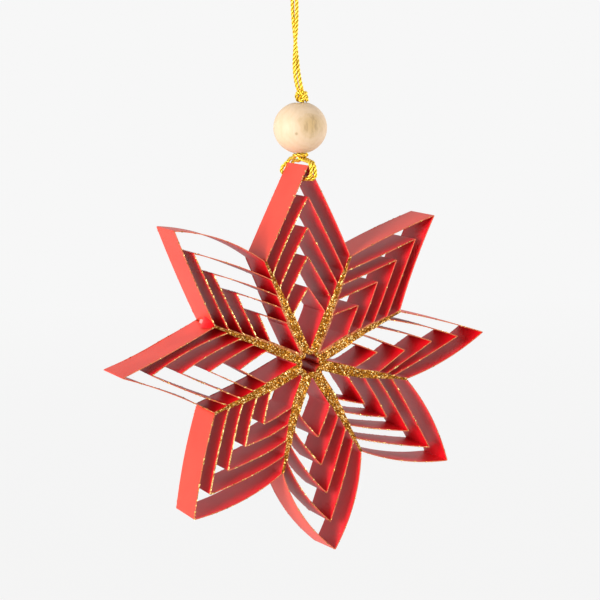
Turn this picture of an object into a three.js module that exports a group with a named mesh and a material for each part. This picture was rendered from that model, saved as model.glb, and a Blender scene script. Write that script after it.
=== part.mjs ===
// A quilled snowflake ornament: eight petals of nested red card loops, glued side to side into
// eight spokes, hung by a gold cord that is hitched under the fold of the top petal and passes
// through a wooden bead.
// Millimetres, +Z up. The star faces -Y, and the origin is where a hook carries the hanging loop.

import * as THREE from 'three';

// Card strips
const stripWidth = 14;
const cardThickness = 0.22;
const glueLine = 0.04;
const layerPitch = cardThickness + glueLine;
const loopsPerPetal = 5;

// The nest of loops in a petal. Each loop's fold and bends are nearer the middle of the star than
// those of the loop outside it, by these steps.
const tipStep = 7.6;
const bendStep = 3.9;
const hubHoleRadius = 2.6;
const smallestCurl = 0.4;
const bendRadius = 1.4;

// The spokes, each with its direction in degrees, the reach of its outermost bend, and how far its
// middle stands off the straight line, to the left seen from the middle of the star
const spokes = [
  { direction: 66.6, bendReach: 29.2, bow: 0 },
  { direction: 24.8, bendReach: 27.8, bow: 0.4 },
  { direction: -13.0, bendReach: 27.7, bow: -0.5 },
  { direction: -60.2, bendReach: 27.9, bow: 0.3 },
  { direction: -106.4, bendReach: 29.1, bow: -0.8 },
  { direction: -157.6, bendReach: 28.3, bow: 0.5 },
  { direction: -203.8, bendReach: 28.0, bow: -0.2 },
  { direction: -246.4, bendReach: 29.2, bow: 0.1 },
];
// Everything within this distance of a spoke follows its bow, and nothing beyond the second one
const bowHold = 1.6;
const bowEnd = 7;
// The legs bend to the bow at these steps from the middle of the star, so that all strips on a
// spoke bend at the same places and stay a glue line apart
const legStep = 3;

// The petals clockwise from the top: the direction of their folds, the reach of the outermost one
// from the middle of the star, the reach from which the inner ones step inwards, and how far the
// left and right sides of the outermost loop and of the one inside it bow out, seen from the
// middle outwards. The star is made by hand, so the folds are off their regular places by
// foldDrift, sideways and up, and the bends are off along the spokes by leftDrift and rightDrift,
// from the outermost loop inwards.
const petals = [
  {
    name: 'top',
    direction: 89.6,
    reach: 50.5,
    innerReach: 49.8,
    outerBow: [0, 0.3],
    innerBow: [0.4, 0.1],
    foldDrift: [[0, 0], [-0.1, 0.4], [-0.3, 0.2], [-0.4, 0.4], [-0.4, 0.1]],
    leftDrift: [0, 0, 0, 0, 0],
    rightDrift: [0, 0, 0, 0, 0],
  },
  {
    name: 'upper_right',
    direction: 45.6,
    reach: 50.5,
    innerReach: 49.8,
    outerBow: [0.4, -0.5],
    innerBow: [-0.1, 0],
    foldDrift: [[0, 0], [0.4, 0.1], [0.3, 0.4], [0.2, 0.5], [0, 0.2]],
    leftDrift: [0, 0, 0.3, 0.2, 0],
    rightDrift: [0, 0, 0, 0, 0],
  },
  {
    name: 'right',
    direction: 5.3,
    reach: 49.2,
    innerReach: 49.4,
    outerBow: [0.3, 1.1],
    innerBow: [0.5, 0.2],
    foldDrift: [[0.1, 0], [0.1, 0.1], [0.2, 0], [0.1, -1.1], [-0.2, -0.3]],
    leftDrift: [0, 0, 0, 0, 0],
    rightDrift: [0, 0, 1.8, 3.3, 0.2],
  },
  {
    name: 'lower_right',
    direction: -36.8,
    reach: 47.7,
    innerReach: 49.1,
    outerBow: [1.4, 1.3],
    innerBow: [0.1, 0.3],
    foldDrift: [[0.2, -0.3], [0, 0], [0.2, 0.3], [0.1, -0.1], [0, -0.6]],
    leftDrift: [0, -0.3, -0.4, -0.2, -1.1],
    rightDrift: [0, 0, 0, 0, 0],
  },
  {
    name: 'bottom',
    direction: -83.2,
    reach: 49.3,
    innerReach: 49.3,
    outerBow: [1.7, 2],
    innerBow: [0.3, 1.2],
    foldDrift: [[0.2, -0.4], [-0.1, -0.4], [-0.1, -0.3], [-0.6, -0.4], [-0.4, -0.6]],
    leftDrift: [0, 0, 0, 0, 0],
    rightDrift: [0, 0.6, 0.4, 0.2, -0.3],
  },
  {
    name: 'lower_left',
    direction: -131.1,
    reach: 49.3,
    innerReach: 49.8,
    outerBow: [1.5, 0.5],
    innerBow: [0.6, 0.2],
    foldDrift: [[0.1, -0.3], [-0.2, 0.4], [-0.2, 0.3], [-0.4, 0.4], [-0.3, 0]],
    leftDrift: [0, -0.8, -0.8, -1, -1.4],
    rightDrift: [0, 0, 0, 0, 0],
  },
  {
    name: 'left',
    direction: -180.4,
    reach: 50,
    innerReach: 49.8,
    outerBow: [-0.7, -0.3],
    innerBow: [0.3, 0.9],
    foldDrift: [[-0.1, -0.3], [-0.2, -0.2], [-0.1, -0.2], [-0.2, -0.2], [0.2, -0.3]],
    leftDrift: [0, 0, 0, 0, 0],
    rightDrift: [0, 0, 0, 0, 0],
  },
  {
    name: 'upper_left',
    direction: -225.1,
    reach: 50.5,
    innerReach: 49.6,
    outerBow: [0.2, 1.8],
    innerBow: [0, 0.5],
    foldDrift: [[0, 0], [-1.1, 0.2], [-1.4, 0.1], [-0.7, 0.2], [-0.3, 0]],
    leftDrift: [0, 0, 0, 0, 0],
    rightDrift: [0, -1.1, -1.6, -1.1, -1.3],
  },
];

// Hanger. The shifts are to the right of the plumb line through the hook, and the star's own shift
// brings its centre of mass under the hitch.
const starShift = -0.29;
const beadShift = 0.86;
const knotShift = 1.6;
const hangingLength = 43.1;
const knotHeight = 3;
const knotWidth = 3.7;
const knotFlat = 1.1;
const beadHeight = 12.6;
const beadDiameter = 13.7;
const beadBore = 3.2;
const beadRimRound = 0.5;
const beadToFold = 2.9;
const cordDiameter = 0.95;
const seatGap = 0.1;

// Heights that follow from the sizes above
const knotTop = -hangingLength;
const beadTop = knotTop - knotHeight;
const beadBottom = beadTop - beadHeight;
const foldTop = beadBottom - beadToFold;
const starMiddle = foldTop - petals[0].reach;

const redCard = new THREE.MeshStandardMaterial({ color: 0xd8232e, roughness: 0.55, metalness: 0 });
const goldCord = new THREE.MeshStandardMaterial({ color: 0xe6b93c, roughness: 0.35, metalness: 0.6 });
const paleWood = new THREE.MeshStandardMaterial({ color: 0xead2a8, roughness: 0.6, metalness: 0 });

const along = (degrees) => {
  const angle = THREE.MathUtils.degToRad(degrees);
  return new THREE.Vector2(Math.cos(angle), Math.sin(angle));
};
const leftOf = (v) => new THREE.Vector2(-v.y, v.x);
const moved = (point, direction, distance) => point.clone().addScaledVector(direction, distance);

// Points of the arc that turns by `turn` radians, starting from `from`, about `centre`.
function arcPoints(centre, from, turn, steps) {
  const points = [];
  for (let step = 0; step <= steps; step++) {
    points.push(from.clone().rotateAround(centre, (turn * step) / steps));
  }
  return points;
}

// A point moved sideways with the bows of the spokes beside it
function withBows(point) {
  return spokes.reduce((bowed, spoke) => {
    const outwards = along(spoke.direction);
    const reach = Math.min(Math.max(point.dot(outwards) / spoke.bendReach, 0), 1);
    const aside = Math.abs(outwards.cross(point));
    const share = 1 - THREE.MathUtils.smoothstep(aside, bowHold, bowEnd);
    return moved(bowed, leftOf(outwards), spoke.bow * Math.sin(Math.PI * reach) ** 2 * share);
  }, point);
}

// One side of a loop: along its leg on the spoke, from `legStart` mm off the middle of the star, a
// soft bend off the spoke, then a run to the fold that bows outwards. `hand` is 1 for the side
// whose petal lies to its left.
function sidePoints(spoke, layer, drift, fold, bow, hand, legStart) {
  const outwards = along(spoke.direction);
  const inwards = leftOf(outwards).multiplyScalar(hand);
  const legOffset = (layer + 0.5) * layerPitch;
  const bendReach = spoke.bendReach - layer * bendStep + drift;
  const corner = moved(moved(new THREE.Vector2(), outwards, bendReach), inwards, legOffset);
  const chord = fold.clone().sub(corner);
  const sideways = leftOf(chord).normalize().multiplyScalar(-hand);
  const control = moved(corner.clone().lerp(fold, 0.5), sideways, 2 * bow);
  const leaving = control.clone().sub(corner).normalize();
  const turn = Math.atan2(outwards.cross(leaving), outwards.dot(leaving));
  const setBack = bendRadius * Math.tan(Math.abs(turn) / 2);
  const bendStart = moved(corner, outwards, -setBack);
  const bendCentre = moved(bendStart, inwards, bendRadius);
  const bend = arcPoints(bendCentre, bendStart, turn, 3);
  const leg = [];
  const legEnd = bendStart.dot(outwards);
  for (let reach = legStep; reach < legEnd - 1; reach += legStep) {
    if (reach > legStart + 1) leg.push(moved(bendStart, outwards, reach - legEnd));
  }
  const run = new THREE.QuadraticBezierCurve(bend[bend.length - 1], control, fold);
  return [...leg, ...bend, ...run.getPoints(4).slice(1, -1)];
}

// The middle line of one closed loop, anticlockwise: the curl at the hub, out along the right
// spoke to the fold, and back along the left spoke.
function loopLine(petal, leftSpoke, rightSpoke, layer) {
  const halfAngle = THREE.MathUtils.degToRad(leftSpoke.direction - rightSpoke.direction) / 2;
  const spread = 1 / Math.sin(halfAngle);
  const outerCurl = (hubHoleRadius + cardThickness / 2 - (layerPitch / 2) * spread) / (spread - 1);
  const curl = Math.max(outerCurl - layer * layerPitch, smallestCurl);
  const legOffset = (layer + 0.5) * layerPitch;
  const middle = (leftSpoke.direction + rightSpoke.direction) / 2;
  const curlCentre = along(middle).multiplyScalar((legOffset + curl) * spread);
  const onLeftLeg = moved(curlCentre, leftOf(along(leftSpoke.direction)), curl);
  const base = arcPoints(curlCentre, onLeftLeg, Math.PI - 2 * halfAngle, 6);
  const reach = layer === 0 ? petal.reach : petal.innerReach - layer * tipStep;
  const drift = new THREE.Vector2(...petal.foldDrift[layer]);
  const fold = along(petal.direction).multiplyScalar(reach).add(drift);
  // The inner loops are bowed as strongly for their length as the second one
  const bows = layer === 0 ? petal.outerBow : petal.innerBow;
  const shorter = layer === 0 ? 1 : ((loopsPerPetal + 1 - layer) / loopsPerPetal) ** 2;
  const legStart = onLeftLeg.dot(along(leftSpoke.direction));
  const right = sidePoints(
    rightSpoke, layer, petal.rightDrift[layer], fold, bows[1] * shorter, 1, legStart,
  );
  const left = sidePoints(
    leftSpoke, layer, petal.leftDrift[layer], fold, bows[0] * shorter, -1, legStart,
  );
  return [...base, ...right, fold, ...left.reverse()].map(withBows);
}

// A closed line moved sideways by `distance` to its right, with mitred corners.
function offsetLine(points, distance) {
  return points.map((point, i) => {
    const before = points[(i + points.length - 1) % points.length];
    const after = points[(i + 1) % points.length];
    const arriving = point.clone().sub(before).normalize();
    const leaving = after.clone().sub(point).normalize();
    const mitre = leftOf(arriving).add(leftOf(leaving)).normalize();
    const stretch = mitre.dot(leftOf(arriving));
    return moved(point, mitre, -distance / stretch);
  });
}

// One card strip, folded at the tip and curled at the hub, as a ring of card on its edge.
function cardLoop(petal, leftSpoke, rightSpoke, layer) {
  const line = loopLine(petal, leftSpoke, rightSpoke, layer);
  const section = new THREE.Shape(offsetLine(line, cardThickness / 2));
  section.holes.push(new THREE.Path(offsetLine(line, -cardThickness / 2)));
  const geometry = new THREE.ExtrudeGeometry(section, { depth: stripWidth, bevelEnabled: false });
  const mesh = new THREE.Mesh(geometry, redCard);
  mesh.name = `${petal.name}_petal_loop_${layer + 1}`;
  return mesh;
}

function star() {
  const group = new THREE.Group();
  petals.forEach((petal, i) => {
    const rightSpoke = spokes[i];
    const before = spokes[(i + spokes.length - 1) % spokes.length];
    const wholeTurn = i === 0 ? 360 : 0;
    const leftSpoke = { ...before, direction: before.direction + wholeTurn };
    for (let layer = 0; layer < loopsPerPetal; layer++) {
      group.add(cardLoop(petal, leftSpoke, rightSpoke, layer));
    }
  });
  // The loops are drawn flat and then stood up, so that their width runs from front to back
  group.rotation.x = Math.PI / 2;
  group.position.set(starShift, stripWidth / 2, starMiddle);
  return group;
}

// The turned bead: a ball a little lower than wide, with its rims rounded into the bore.
function woodenBead() {
  const bore = beadBore / 2;
  const wide = beadDiameter / 2;
  const rim = bore + beadRimRound;
  const tall = beadHeight / 2 / Math.sqrt(1 - (rim / wide) ** 2);
  const rimAngle = Math.acos(rim / wide);
  const profile = [];
  profile.push(new THREE.Vector2(bore, beadHeight / 2 - beadRimRound));
  profile.push(new THREE.Vector2(bore, beadRimRound - beadHeight / 2));
  const steps = 10;
  for (let step = 0; step <= steps; step++) {
    const angle = rimAngle * ((2 * step) / steps - 1);
    profile.push(new THREE.Vector2(wide * Math.cos(angle), tall * Math.sin(angle)));
  }
  profile.push(profile[0].clone());
  const geometry = new THREE.LatheGeometry(profile, 24);
  geometry.rotateX(Math.PI / 2);
  const mesh = new THREE.Mesh(geometry, paleWood);
  mesh.name = 'wooden_bead';
  mesh.position.set(beadShift, 0, (beadTop + beadBottom) / 2);
  return mesh;
}

// A tube of cord along a hand-chosen route, in steps that suit its bends.
function cordTube(name, route, steps) {
  const points = route.map(([x, y, z]) => new THREE.Vector3(x, y, z));
  const path = new THREE.CatmullRomCurve3(points, false, 'centripetal');
  const section = new THREE.Shape();
  section.absarc(0, 0, cordDiameter / 2, 0, 2 * Math.PI);
  const geometry = new THREE.ExtrudeGeometry(section, {
    extrudePath: path,
    steps,
    curveSegments: 4,
  });
  const mesh = new THREE.Mesh(geometry, goldCord);
  mesh.name = name;
  console.log(`${name}: ${path.getLength().toFixed(1)} mm of cord`);
  return mesh;
}

// The loop for the hook: up from the knot, where its two strands twist half round each other,
// round the eye and down again. Points are measured from where the hook carries it.
const hangingRoute = [
  [1.35, -0.4, -42.8],
  [0.95, -0.25, -40.6],
  [0.65, 0, -38.1],
  [0.5, 0.2, -35.6],
  [0.35, 0.4, -33.1],
  [0.15, 0.5, -30.6],
  [-0.05, 0.55, -28.1],
  [-0.3, 0.5, -25.6],
  [-0.5, 0.35, -23.1],
  [-0.6, 0.2, -20.1],
  [-0.85, 0.05, -17.1],
  [-1.6, 0, -14.1],
  [-2.5, 0, -11.1],
  [-3.3, 0, -8.1],
  [-3.8, 0, -5.1],
  [-3.4, 0, -2.3],
  [-2, 0, -0.2],
  [0, 0, 0.5],
  [2, 0, -0.2],
  [3.4, 0, -2.3],
  [3.8, 0, -5.1],
  [3.3, 0, -8.1],
  [2.5, 0, -11.1],
  [1.6, 0, -14.1],
  [0.8, -0.05, -17.1],
  [0.45, -0.2, -20.1],
  [0.35, -0.35, -23.1],
  [0.2, -0.5, -25.6],
  [0, -0.55, -28.1],
  [-0.25, -0.5, -30.6],
  [-0.4, -0.4, -33.1],
  [-0.5, -0.2, -35.6],
  [-0.4, 0, -38.1],
  [0, 0.25, -40.6],
  [0.6, 0.4, -42.8],
];

// The hitch: down through the bead, forwards and round the front of the card, back under the fold,
// up behind it, over both strands just under the bead, and the same way back. Points are measured
// from the plumb line at the height of the top petal's outer fold.
const hitchRoute = [
  [0.3, 0, 15.5],
  [0.3, 0, 9.5],
  [0.3, 0, 3.6],
  [0.3, 0, 2.4],
  [0.35, -0.35, 1.6],
  [0.7, -1.2, 1.25],
  [0.95, -2.4, 1.05],
  [0.85, -3.8, 0.98],
  [0.6, -5.4, 0.93],
  [0.38, -6.8, 0.9],
  [0.28, -7.6, 0.6],
  [0.3, -8, -0.1],
  [0.4, -8.1, -0.9],
  [0.4, -8.1, -1.7],
  [0.2, -8.1, -2.4],
  [-0.15, -7.8, -3],
  [-0.42, -6.9, -3.35],
  [-0.46, -5.4, -3.5],
  [-0.46, 0, -3.8],
  [-0.46, 5.4, -3.5],
  [-0.47, 6.9, -3.4],
  [-0.75, 7.9, -3.1],
  [-1.2, 8.2, -2.3],
  [-1.1, 8.2, -1.45],
  [-0.45, 8.1, -0.65],
  [0.3, 7.8, 0.1],
  [0.5, 6.8, 0.9],
  [0.5, 4.8, 1.3],
  [0.2, 2.4, 1.8],
  [-0.6, 0.8, 2.2],
  [-0.7, -0.1, 2.3],
  [-0.2, -0.9, 2.3],
  [0.86, -1.25, 2.3],
  [1.95, -0.9, 2.3],
  [2.42, -0.1, 2.25],
  [2.3, 0.8, 1.95],
  [2.1, 1.6, 1.5],
  [1.95, 2.6, 1],
  [1.9, 4.4, 0.55],
  [1.85, 6, 0.55],
  [1.8, 7.1, 0.45],
  [1.7, 7.8, -0.1],
  [1.55, 8.15, -1.1],
  [1.3, 8.2, -2],
  [0.95, 8.1, -2.8],
  [0.64, 7.6, -3.3],
  [0.58, 6.7, -3.45],
  [0.58, 5.4, -3.5],
  [0.58, 0, -3.8],
  [0.58, -5.4, -3.5],
  [0.62, -6.9, -3.45],
  [1, -7.8, -3.3],
  [1.4, -8.1, -2.8],
  [1.5, -8.1, -2.1],
  [1.43, -8.1, -1.3],
  [1.36, -8, -0.5],
  [1.3, -7.6, 0.2],
  [1.45, -6.8, 0.6],
  [1.75, -5.4, 0.65],
  [2, -3.8, 0.75],
  [1.98, -2.4, 1.02],
  [1.78, -1.2, 1.27],
  [1.42, -0.35, 1.6],
  [1.42, 0, 2.4],
  [1.42, 0, 3.6],
  [1.42, 0, 9.5],
  [1.42, 0, 15.5],
];

// The knot that stops the bead, as the closed lump that its turns fill.
function cordKnot() {
  const tall = (knotHeight - seatGap) / 2;
  const wide = knotWidth / 2;
  const flatAngle = Math.acos(knotFlat / wide);
  const ballHeight = tall / Math.sin(flatAngle);
  const profile = [new THREE.Vector2(0, -tall)];
  const steps = 8;
  for (let step = 0; step <= steps; step++) {
    const angle = flatAngle * ((2 * step) / steps - 1);
    profile.push(new THREE.Vector2(wide * Math.cos(angle), ballHeight * Math.sin(angle)));
  }
  profile.push(new THREE.Vector2(0, tall));
  const geometry = new THREE.LatheGeometry(profile, 20);
  geometry.rotateX(Math.PI / 2);
  const mesh = new THREE.Mesh(geometry, goldCord);
  mesh.name = 'cord_knot';
  mesh.position.set(knotShift, 0, knotTop - tall);
  return mesh;
}

function hanger() {
  const group = new THREE.Group();
  const loop = cordTube('hanging_loop_cord', hangingRoute, 60);
  const hitch = cordTube('hitch_cord', hitchRoute, 110);
  hitch.position.z = foldTop;
  group.add(loop, cordKnot(), woodenBead(), hitch);
  return group;
}

const ornament = new THREE.Group();
ornament.add(hanger(), star());

export default ornament;
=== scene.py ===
# %% [markdown]
# # A quilled snowflake ornament, strip by strip
#
# The ornament is forty strips of red card, folded and glued on edge into a star of eight petals.
# Its cut edges are dipped in gold glitter, and it hangs from a twisted gold cord with a wooden
# bead. We dress the measured model of it: every strip, the bead and the cord get a finer mesh in
# the same place, and a finish made of shader nodes.

# %% Load the measured model
import cmath
import math
from collections import namedtuple

import bpy
import numpy as np
from mathutils import Matrix, Vector


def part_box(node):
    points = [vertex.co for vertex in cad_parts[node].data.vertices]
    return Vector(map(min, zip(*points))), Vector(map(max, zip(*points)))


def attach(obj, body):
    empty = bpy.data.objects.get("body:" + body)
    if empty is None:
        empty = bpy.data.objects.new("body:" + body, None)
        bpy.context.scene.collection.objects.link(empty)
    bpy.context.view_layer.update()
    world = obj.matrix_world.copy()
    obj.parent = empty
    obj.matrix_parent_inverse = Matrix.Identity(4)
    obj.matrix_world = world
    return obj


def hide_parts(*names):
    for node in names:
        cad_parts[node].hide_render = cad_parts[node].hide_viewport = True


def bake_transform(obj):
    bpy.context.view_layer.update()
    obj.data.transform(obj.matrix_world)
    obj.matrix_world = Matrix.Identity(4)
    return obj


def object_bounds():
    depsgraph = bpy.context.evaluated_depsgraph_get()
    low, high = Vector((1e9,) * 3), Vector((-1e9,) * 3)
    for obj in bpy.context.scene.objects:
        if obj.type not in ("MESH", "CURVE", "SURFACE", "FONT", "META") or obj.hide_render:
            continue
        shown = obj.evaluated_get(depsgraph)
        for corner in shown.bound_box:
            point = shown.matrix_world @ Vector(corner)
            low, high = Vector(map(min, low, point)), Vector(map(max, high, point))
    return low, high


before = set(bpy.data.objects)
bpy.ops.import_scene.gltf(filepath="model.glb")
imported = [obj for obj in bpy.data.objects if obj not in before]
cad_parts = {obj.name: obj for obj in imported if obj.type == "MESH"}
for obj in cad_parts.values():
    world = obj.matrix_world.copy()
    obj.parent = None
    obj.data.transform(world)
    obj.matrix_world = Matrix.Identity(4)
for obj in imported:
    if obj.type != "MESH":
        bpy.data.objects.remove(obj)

MM = 0.001
measured_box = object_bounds()
dice = np.random.RandomState(2024)
print("measured box, mm:", [[round(v / MM, 1) for v in corner] for corner in measured_box])

# %% [markdown]
# ## The camera
#
# The photograph was taken from the left front, a little above the star, with a long lens. A camera
# can be aimed by constraints or by hand. Here it is turned by three angles: up from looking
# straight down, round the star, and a little roll. The columns of the matrix are then its own
# axes, which point to the right, up, and back at the photographer.

# %% Camera
PHOTO_SIZE = 600
FOCAL_PIXELS = 2154.4
SENSOR_WIDTH = 36
view_turn = math.radians(-21.766)
view_rise = math.radians(7.574)
view_roll = math.radians(-1.03)
view_distance = 556.5 * MM
view_offset = (-0.74 * MM, 14.65 * MM)
view_centre = Vector((0.463, 0, -111.455)) * MM


def add_object(name, data):
    made = bpy.data.objects.new(name, data)
    bpy.context.scene.collection.objects.link(made)
    return made


turned = (
    Matrix.Rotation(view_turn, 3, "Z")
    @ Matrix.Rotation(math.pi / 2 - view_rise, 3, "X")
    @ Matrix.Rotation(view_roll, 3, "Z")
)
camera_place = view_centre + turned @ Vector((*view_offset, view_distance))
camera = add_object("photo_camera", bpy.data.cameras.new("photo_camera"))
camera.data.sensor_width = SENSOR_WIDTH
camera.data.lens = FOCAL_PIXELS / PHOTO_SIZE * SENSOR_WIDTH
camera.matrix_world = Matrix.Translation(camera_place) @ turned.to_4x4()
bpy.context.scene.camera = camera
bpy.context.scene.view_settings.view_transform = "Standard"
print("camera at, mm:", [round(v / MM) for v in camera_place], "lens", round(camera.data.lens, 1))

# %% [markdown]
# ## A helper that makes every long shape
#
# Card strips, twisted threads, lines of glitter and the turned bead are all a cross-section carried
# along a path. Blender's curves can do this with a bevel, but then every cross-section is alike.
# Ours change from place to place, so we hand over the finished rings of points and only join
# neighbouring rings with faces. Several such bodies can share one mesh.


# %% Sweep helper
class Sweeps:
    """Bodies made of rings of points, gathered into one mesh, with a mark on each point."""

    def __init__(self):
        self.points = []
        self.faces = []
        self.marks = []

    def add(self, rings, closed, marks=0.0):
        """rings is an array of stations by ring points by three. An open body gets end caps."""
        stations, around, _ = rings.shape
        first = len(self.points)
        self.points.extend(rings.reshape(-1, 3).tolist())
        spread = np.broadcast_to(np.asarray(marks, float), (stations, around))
        self.marks.extend(spread.reshape(-1).tolist())
        for i in range(stations if closed else stations - 1):
            here = first + i * around
            there = first + (i + 1) % stations * around
            for k in range(around):
                after = (k + 1) % around
                self.faces.append((here + k, here + after, there + after, there + k))
        if not closed:
            last = first + (stations - 1) * around
            self.faces.append(tuple(first + k for k in reversed(range(around))))
            self.faces.append(tuple(last + k for k in range(around)))

    def add_body(self, points, faces, mark=0.0):
        first = len(self.points)
        self.points.extend(points)
        self.marks.extend([mark] * len(points))
        self.faces.extend(tuple(first + k for k in face) for face in faces)

    def make(self, name, finish, smooth_below=None):
        """The object. Edges flatter than smooth_below degrees are shaded round, or none are."""
        mesh = bpy.data.meshes.new(name)
        mesh.from_pydata(self.points, [], self.faces)
        mesh.attributes.new("mark", "FLOAT", "POINT").data.foreach_set("value", self.marks)
        mesh.update()
        if smooth_below:
            mesh.polygons.foreach_set("use_smooth", [True] * len(mesh.polygons))
            mesh.set_sharp_from_angle(angle=math.radians(smooth_below))
        mesh.materials.append(finish)
        return add_object(name, mesh)


# %% [markdown]
# ## Building blocks for the finishes
#
# Three effects turn up in more than one finish, so each is a node group that is built once: a
# cloudy unevenness, a fine fibrous grain with a height for the bump, and a pattern of small cells
# in which every cell has its own random value. Groups only put out numbers. The shaders stay in
# the materials.


# %% Node helpers
def feed(tree, socket, value):
    """Links the socket to another node's output, or sets it to a plain value or colour."""
    if isinstance(value, bpy.types.NodeSocket):
        tree.links.new(value, socket)
    else:
        socket.default_value = (*value, 1) if isinstance(value, tuple) else value


def feed_named(tree, node, **values):
    """Feeds sockets of a node, each named by its words joined with _."""
    for key, value in values.items():
        feed(tree, node.inputs[key.replace("_", " ")], value)


def add_node(tree, kind, *values, **settings):
    """A node with values for its first sockets, and settings for its properties and sockets."""
    made = tree.nodes.new(kind)
    for key, value in settings.items():
        if hasattr(made, key):
            setattr(made, key, value)
        else:
            feed_named(tree, made, **{key: value})
    for socket, value in zip(made.inputs, values):
        feed(tree, socket, value)
    return made


def compute(tree, operation, *values):
    return add_node(tree, "ShaderNodeMath", *values, operation=operation).outputs[0]


def vector_math(tree, operation, *values):
    return add_node(tree, "ShaderNodeVectorMath", *values, operation=operation).outputs


def new_group(name, inputs, outputs):
    """A node group with float inputs, given with their defaults, and float outputs."""
    tree = bpy.data.node_groups.new(name, "ShaderNodeTree")
    for socket, default in inputs.items():
        made = tree.interface.new_socket(socket, in_out="INPUT", socket_type="NodeSocketFloat")
        made.default_value = default
    for socket in outputs:
        tree.interface.new_socket(socket, in_out="OUTPUT", socket_type="NodeSocketFloat")
    return tree, tree.nodes.new("NodeGroupInput"), tree.nodes.new("NodeGroupOutput")


def scaled_place(tree, given):
    """The place on the object, and the texture scale that gives details of the wanted size."""
    place = add_node(tree, "ShaderNodeTexCoord").outputs["Object"]
    return place, compute(tree, "DIVIDE", 1 / MM, given.outputs["Size mm"])


def place_group(tree, group, **values):
    return add_node(tree, "ShaderNodeGroup", node_tree=group, **values).outputs


# %% Shared effects
def unevenness_group():
    """Soft clouds of about the given size, from 0 to 1."""
    tree, given, result = new_group("unevenness", {"Size mm": 10.0}, ["Value"])
    place, scale = scaled_place(tree, given)
    noise = add_node(tree, "ShaderNodeTexNoise", Vector=place, Scale=scale, Detail=3.0)
    feed_named(tree, result, Value=noise.outputs["Fac"])
    return tree


def fibre_group():
    """Fine fibres, finer across Z than along it when Stretch is above 1."""
    tree, given, result = new_group("fibres", {"Size mm": 0.4, "Stretch": 1.0}, ["Value", "Height"])
    place, scale = scaled_place(tree, given)
    narrow = compute(tree, "DIVIDE", 1.0, given.outputs["Stretch"])
    axes = add_node(tree, "ShaderNodeCombineXYZ", 1.0, 1.0, narrow)
    stretched = vector_math(tree, "MULTIPLY", place, axes.outputs[0])[0]

    def noise(scale, **detail):
        made = add_node(tree, "ShaderNodeTexNoise", Vector=stretched, Scale=scale, **detail)
        return made.outputs["Fac"]

    coarse = noise(scale, Detail=4.0, Roughness=0.65)
    fine = noise(compute(tree, "MULTIPLY", scale, 3.1), Detail=2.0)
    feed_named(tree, result, Value=coarse, Height=compute(tree, "MULTIPLY_ADD", fine, 0.5, coarse))
    return tree


def grain_cell_group():
    """Small cells, each with a random value of its own from 0 to 1."""
    tree, given, result = new_group("grain_cells", {"Size mm": 0.3}, ["Value"])
    place, scale = scaled_place(tree, given)
    cells = add_node(tree, "ShaderNodeTexVoronoi", Vector=place, Scale=scale, Randomness=1.0)
    parts = add_node(tree, "ShaderNodeSeparateColor", cells.outputs["Color"])
    feed_named(tree, result, Value=parts.outputs["Red"])
    return tree


unevenness = unevenness_group()
fibres = fibre_group()
grain_cells = grain_cell_group()
print("shared effects:", [group.name for group in bpy.data.node_groups])


# %% Material helpers
def new_finish(name, **sockets):
    """A material with one Principled shader, whose plain values are set on its own sockets."""
    finish = bpy.data.materials.new(name)
    finish.use_nodes = True
    shader = finish.node_tree.nodes["Principled BSDF"]
    feed_named(finish.node_tree, shader, **sockets)
    return finish, finish.node_tree, shader


def mark_of(tree):
    """The number that every point of a swept mesh carries."""
    return add_node(tree, "ShaderNodeAttribute", attribute_name="mark").outputs["Fac"]


def colour_ramp(tree, source, stops):
    """Colours by a number from 0 to 1. A stop is a place and a colour."""
    ramp = add_node(tree, "ShaderNodeValToRGB", source)
    elements = ramp.color_ramp.elements
    while len(elements) < len(stops):
        elements.new(0.5)
    for element, (place, colour) in zip(elements, stops):
        element.position = place
        element.color = (*colour, 1)
    return ramp.outputs["Color"]


def value_range(tree, source, low, high, from_low=0.0, from_high=1.0):
    """The number moved from one range to another, and held inside it."""
    made = add_node(tree, "ShaderNodeMapRange", source, from_low, from_high, low, high)
    return made.outputs["Result"]


def mix_colours(tree, share, first, second):
    """Mixes two colours, each a socket or a plain colour, by a share that is a socket."""
    made = add_node(tree, "ShaderNodeMix", data_type="RGBA", Factor=share, A=first, B=second)
    return made.outputs["Result"]


def bump(tree, shader, height, depth_mm, strength):
    made = add_node(
        tree, "ShaderNodeBump", Strength=strength, Distance=depth_mm * MM, Height=height
    )
    feed_named(tree, shader, Normal=made.outputs["Normal"])


# %% [markdown]
# ## The gold cord
#
# The cord is a metallic thread of three plies, twisted like a rope, about a millimetre thick. Each
# ply is a thin tube that winds round the cord's middle line, so the rope's bumps are real and not
# painted. The measured cord is round: the crests of the plies stand a little outside it, and the
# creases lie inside. The mark on the points tells how far out they lie. From it the finish paints
# shade in the creases as dark gold and a highlight on the crests as bright gold, with fine
# filaments that glint.


# %% Gold cord finish
def gold_cord_finish():
    finish, tree, shader = new_finish("gold_cord", Metallic=0.7)
    painted_crest_shading = value_range(tree, mark_of(tree), 0.05, 0.62, 0.45, 1.0)
    cells = place_group(tree, grain_cells, Size_mm=0.14)["Value"]
    # Painted shade in the creases as dark gold, and a painted highlight on the crests as bright gold
    colour = colour_ramp(tree, compute(tree, "MULTIPLY_ADD", cells, 0.42, painted_crest_shading), [
        (0.0, (0.13, 0.05, 0.002)),
        (0.35, (0.62, 0.36, 0.016)),
        (0.70, (0.98, 0.68, 0.045)),
        (1.0, (0.97, 0.82, 0.19)),
    ])
    clouds = place_group(tree, unevenness, Size_mm=1.2)["Value"]
    feed_named(tree, shader, Base_Color=colour, Roughness=value_range(tree, clouds, 0.26, 0.46))
    bump(tree, shader, place_group(tree, fibres, Size_mm=0.12)["Height"], 0.03, 0.6)
    return finish


cord_finish = gold_cord_finish()
print("cord finish:", len(cord_finish.node_tree.nodes), "nodes")

# %% Cord shapes
CORD_DIAMETER = 0.95
CREST_DIAMETER = 1.03
PLIES = 3
PLY_RADIUS = 0.28
PLY_SIDES = 8
TWIST_PITCH = 3.4
TWIST_STEPS = 14


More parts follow.
